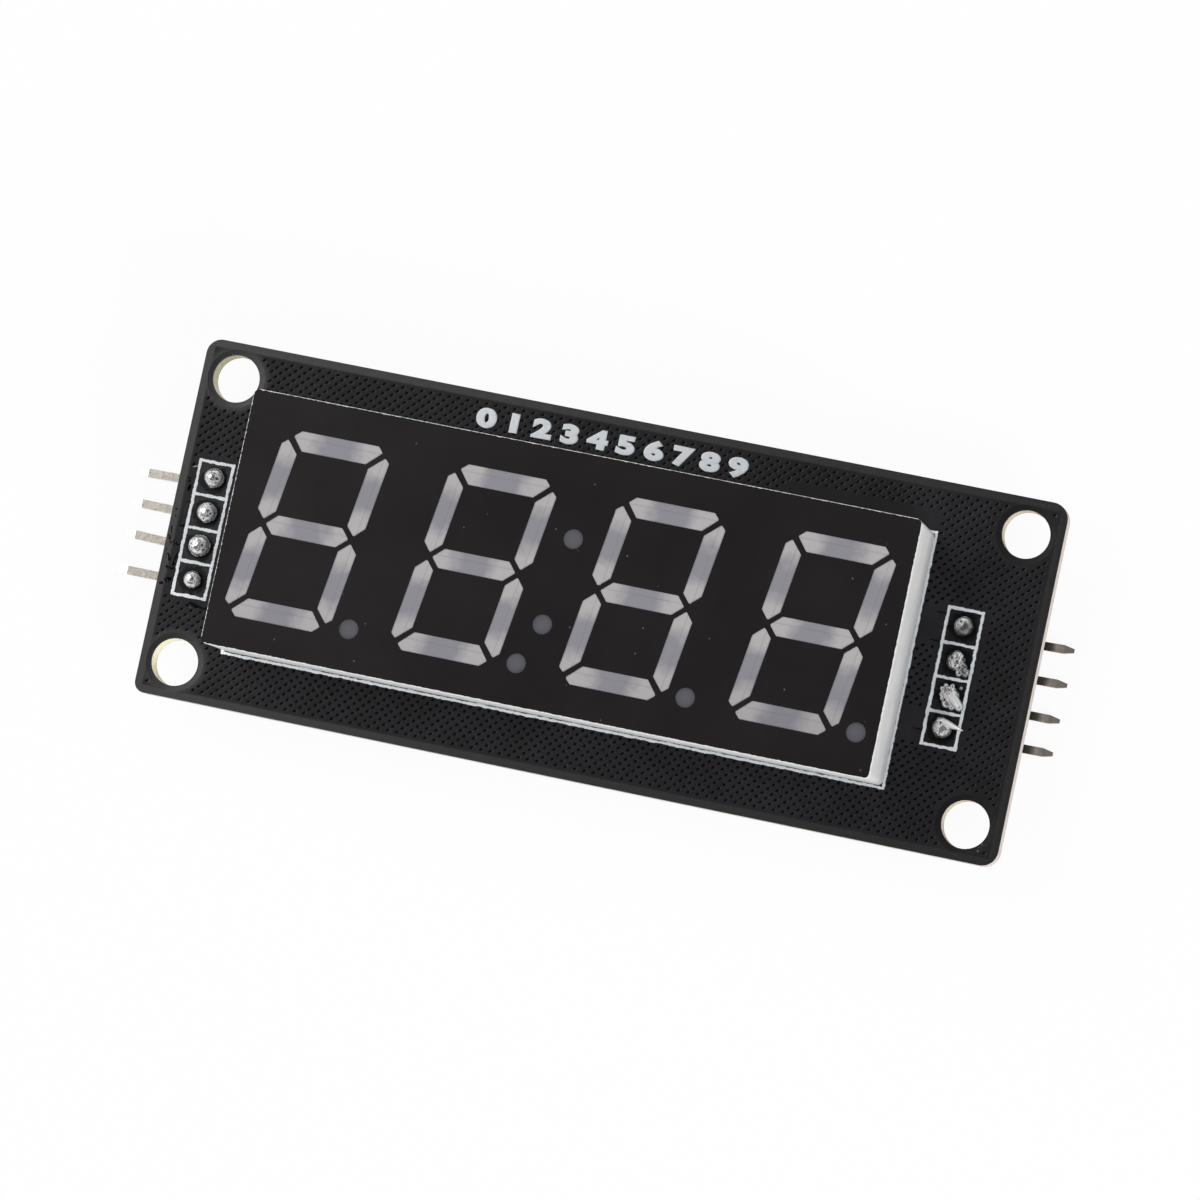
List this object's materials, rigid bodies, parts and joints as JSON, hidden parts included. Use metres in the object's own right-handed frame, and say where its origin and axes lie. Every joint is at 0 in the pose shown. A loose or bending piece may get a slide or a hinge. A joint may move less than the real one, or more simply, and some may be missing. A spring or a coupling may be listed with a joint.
{
  "type": "seven segment display module",
  "caption": "Black circuit board carrying a moulded seven segment clock display, with corner mounting holes and a row of bent header pins at each end.",
  "frame": {"origin": "centre of the rectangle of mounting holes, on the rear face of the board", "axes": "+X along the row of digits as they are read, +Y to the tops of the digits, +Z out of the display's face"},
  "size_m": [0.0721, 0.027, 0.0133],
  "materials": {
    "laminate": "cream glass-fibre laminate, sawn edges",
    "solder_mask": "black solder mask, satin gloss",
    "pad_metal": "tinned copper",
    "print_white": "white screen print",
    "housing_white": "moulded white, satin",
    "face_black": "matt black coat",
    "light_casting": "milky cast resin",
    "substrate": "green laminate",
    "led_die": "semiconductor die",
    "pin_metal": "tinned, bright",
    "solder": "bright solder",
    "header_plastic": "black moulded plastic",
    "driver_plastic": "dark grey epoxy moulding",
    "resistor_black": "glazed black top",
    "capacitor_tan": "fired ceramic"
  },
  "bodies": {
    "root": {"board_laminate": "laminate", "front_solder_mask": "solder_mask", "rear_solder_mask": "solder_mask", "front_pads": "pad_metal", "rear_pads": "pad_metal", "front_print": "print_white", "rear_print": "print_white", "display_housing": "housing_white", "display_face_coat": "face_black", "display_light_casting": "light_casting", "display_substrate": "substrate", "display_led_dice": "led_die", "display_pin_solder": "solder", "driver_body": "driver_plastic", "driver_leads_upper": "pin_metal", "driver_leads_lower": "pin_metal", "resistor_1": "resistor_black", "resistor_2": "resistor_black", "capacitor_1": "capacitor_tan", "capacitor_2": "capacitor_tan", "capacitor_3": "capacitor_tan", "capacitor_4": "capacitor_tan", "chip_terminals": "pin_metal", "display_pin_1": "pin_metal", "display_pin_2": "pin_metal", "display_pin_3": "pin_metal", "display_pin_4": "pin_metal", "display_pin_5": "pin_metal", "display_pin_6": "pin_metal", "display_pin_7": "pin_metal", "display_pin_8": "pin_metal", "display_pin_9": "pin_metal", "display_pin_10": "pin_metal", "display_pin_11": "pin_metal", "display_pin_12": "pin_metal", "left_header_body": "header_plastic", "left_header_pin_1": "pin_metal", "left_header_solder_1": "solder", "left_header_pin_2": "pin_metal", "left_header_solder_2": "solder", "left_header_pin_3": "pin_metal", "left_header_solder_3": "solder", "left_header_pin_4": "pin_metal", "left_header_solder_4": "solder", "right_header_body": "header_plastic", "right_header_pin_1": "pin_metal", "right_header_solder_1": "solder", "right_header_pin_2": "pin_metal", "right_header_solder_2": "solder", "right_header_pin_3": "pin_metal", "right_header_solder_3": "solder", "right_header_pin_4": "pin_metal", "right_header_solder_4": "solder"}
  },
  "joints": []
}
